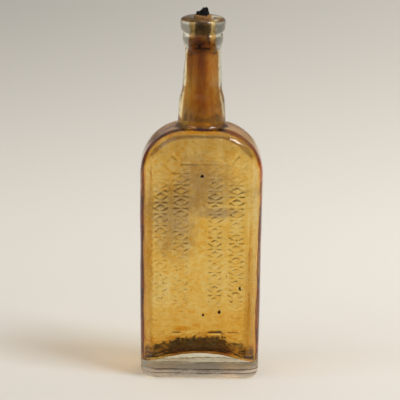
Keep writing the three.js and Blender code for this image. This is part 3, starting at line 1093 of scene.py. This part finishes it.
def studio_floor():
    """A round sheet that is flat near the object and curves up far away on every side."""
    columns, flat_radius, bend = 96, 3.2, 2.4
    profile = [(radius, 0) for radius in (0.05, 0.2, 0.5, 1.0, 1.8, 2.6, flat_radius)]
    for k in range(1, 13):
        t = math.radians(k * 6)
        profile.append((flat_radius + bend * math.sin(t), bend * (1 - math.cos(t))))
    turn = np.linspace(0, 2 * math.pi, columns, endpoint=False)
    rings = [[(r * math.cos(a), r * math.sin(a), z) for a in turn] for r, z in profile]
    points = np.array([[0, 0, 0]] + [p for ring in rings for p in ring])
    faces = [face[::-1] for face in sheet_faces(len(rings), columns, 1)]
    faces += [(0, 1 + j, 1 + (j + 1) % columns) for j in range(columns)]
    floor = mesh_object("studio_floor", points * 1000, faces, floor_material())
    return floor


def area_light(name, place, target, size, watts, colour):
    lamp = bpy.data.lights.new(name, "AREA")
    lamp.shape = "RECTANGLE"
    lamp.size, lamp.size_y = size
    lamp.energy = watts
    lamp.color = colour
    made = bpy.data.objects.new(name, lamp)
    made.location = place
    made.rotation_euler = (Vector(target) - Vector(place)).to_track_quat("-Z", "Y").to_euler()
    bpy.context.scene.collection.objects.link(made)
    return made


def studio_light():
    area_light("key_softbox", (1.0, -0.7, 1.65), (0, 0, 0.1), (0.7, 0.7), 26, (1.0, 0.97, 0.93))
    area_light("fill_softbox", (-1.5, -1.2, 1.7), (0, 0, 0.1), (1.6, 1.6), 9, (1.0, 0.98, 0.96))
    area_light("small_softbox", (-1.6, -0.5, 1.0), (0, 0, 0.14), (0.22, 0.22), 3.0, (1.0, 0.97, 0.92))
    world = bpy.data.worlds.new("studio")
    bpy.context.scene.world = world
    world.use_nodes = True
    back = world.node_tree.nodes["Background"]
    back.inputs["Color"].default_value = (1.0, 0.965, 0.91, 1)
    back.inputs["Strength"].default_value = 0.51


def dark_card(name, corners, shade, tone=(1.0, 1.0, 1.0)):
    """A card that only the glass sees, so that its edges and its face aren't washed out."""
    n = Nodes(name)
    dark = n.blend(n.noise(6, 2), [0.8 * shade * t for t in tone], [1.2 * shade * t for t in tone])
    n.surface(n.principled(Base_Color=dark, Roughness=0.9, Specular_IOR_Level=0.1))
    side = 7
    steps = np.linspace(0, 1, side)
    a, b, c, d = [np.array(corner, float) * 1000 for corner in corners]
    points = [(a * (1 - u) + b * u) * (1 - v) + (d * (1 - u) + c * u) * v for v in steps for u in steps]
    firsts = [row * side + k for row in range(side - 1) for k in range(side - 1)]
    faces = [(k, k + 1, k + side + 1, k + side) for k in firsts]
    card = mesh_object(name, points, faces, n.material)
    card.visible_camera = False
    card.visible_diffuse = False
    card.visible_shadow = False
    return card


def dark_cards():
    """One on the floor in front, a dark one high behind, a paler one low behind, and one at each side."""
    warm = (1.05, 0.85, 0.55)
    front = [(-0.9, -1.6, 0.004), (0.9, -1.6, 0.004), (0.4, -0.05, 0.004), (-0.4, -0.05, 0.004)]
    back = [(-2.2, 2.6, 0.9), (2.2, 2.6, 0.9), (2.2, 2.2, 2.8), (-2.2, 2.2, 2.8)]
    low = [(-1.6, 3.0, 0.25), (1.6, 3.0, 0.25), (1.6, 3.1, 0.85), (-1.6, 3.1, 0.85)]
    left = [(-1.0, -0.9, 0.05), (-1.0, 0.5, 0.05), (-1.0, 0.5, 0.9), (-1.0, -0.9, 0.9)]
    right = [(1.1, -0.2, 0.05), (1.1, 0.5, 0.05), (1.1, 0.5, 0.7), (1.1, -0.2, 0.7)]
    mirrored = dark_card("card_front", front, 0.10)
    mirrored.visible_transmission = False  # only mirrored in the glass, never seen through it
    dark_card("card_back", back, 0.55)
    dark_card("card_low", low, 0.72)
    dark_card("card_left", left, 0.52, warm)
    dark_card("card_right", right, 0.75, warm)


def front_camera():
    aim = Vector((-0.0007, 0, 0.1079))
    elevation = math.radians(12.5)
    distance = 2.40
    seen_height = 0.2440  # of the frame, at the object
    camera = bpy.data.cameras.new("camera")
    camera.sensor_width = 36
    camera.lens = 18 / math.tan(math.atan(seen_height / 2 / distance))
    camera.clip_start, camera.clip_end = 0.05, 50
    made = bpy.data.objects.new("camera", camera)
    back = Vector((0, -math.cos(elevation), math.sin(elevation)))
    upright = (-back).to_track_quat("-Z", "Y").to_matrix().to_4x4()
    roll = Matrix.Rotation(math.radians(0.6), 4, "Z")
    made.matrix_world = Matrix.Translation(aim + back * distance) @ upright @ roll
    bpy.context.scene.collection.objects.link(made)
    bpy.context.scene.camera = made


def render_quality():
    scene = bpy.context.scene
    scene.view_settings.view_transform = "Standard"
    scene.view_settings.look = "None"
    scene.cycles.use_denoising = True
    scene.cycles.max_bounces = 32
    scene.cycles.transmission_bounces = 32
    scene.cycles.glossy_bounces = 12
    scene.cycles.transparent_max_bounces = 64
    scene.cycles.diffuse_bounces = 6
    scene.cycles.sample_clamp_indirect = 6


# ---------------------------------------------------------------- everything together

OUTER = outer_rows()
INNER = inner_rows()
glass_bottle(OUTER, INNER)
residue_film(OUTER, INNER)
residue_cake()
scab = dregs_material()
for number, name in enumerate(sorted(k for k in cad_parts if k.startswith("flake_"))):
    flake(name, 60 + number, scab)
cork_stopper()
pitch_seal()
studio_floor()
studio_light()
dark_cards()
front_camera()
render_quality()
